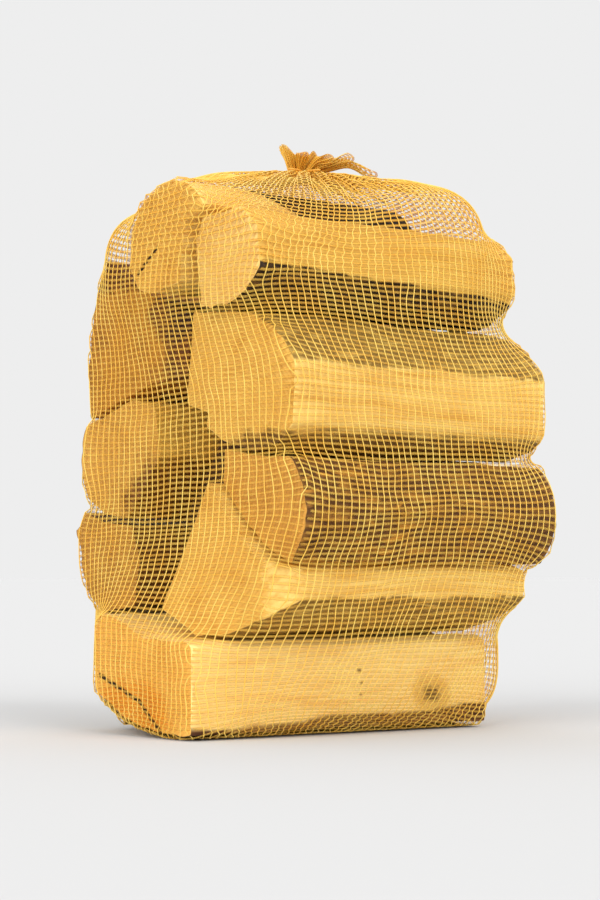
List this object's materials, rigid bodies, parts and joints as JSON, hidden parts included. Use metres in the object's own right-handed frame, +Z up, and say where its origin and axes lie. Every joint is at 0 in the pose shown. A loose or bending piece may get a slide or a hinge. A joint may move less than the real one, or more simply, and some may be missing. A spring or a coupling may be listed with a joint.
{
  "type": "firewood bundle",
  "caption": "Split firewood logs stacked lying down in a golden leno net bag, gathered and tied shut in a frill on top, standing on its flat base.",
  "frame": {"origin": "middle of the flat base, on the surface that the bundle stands on", "axes": "+Z up through the tied neck; the logs lie along X, with the pale sawn ends towards -X"},
  "size_m": [0.3112, 0.2612, 0.416],
  "materials": {
    "pale_wood": "rough split",
    "tan_wood": "rough split",
    "barked_wood": "rough bark",
    "net": "leno net",
    "tape": "flat woven tape"
  },
  "bodies": {
    "root": {"net_bag": "net", "drawstring": "tape", "log_top_front": "pale_wood", "log_top_rear": "pale_wood", "log_left_upper": "tan_wood", "log_centre": "pale_wood", "log_left_middle": "pale_wood", "log_bark_round": "barked_wood", "log_wedge": "pale_wood", "log_left_lower": "tan_wood", "log_inner": "barked_wood", "log_bottom": "pale_wood", "log_back_bottom": "tan_wood"}
  },
  "joints": []
}
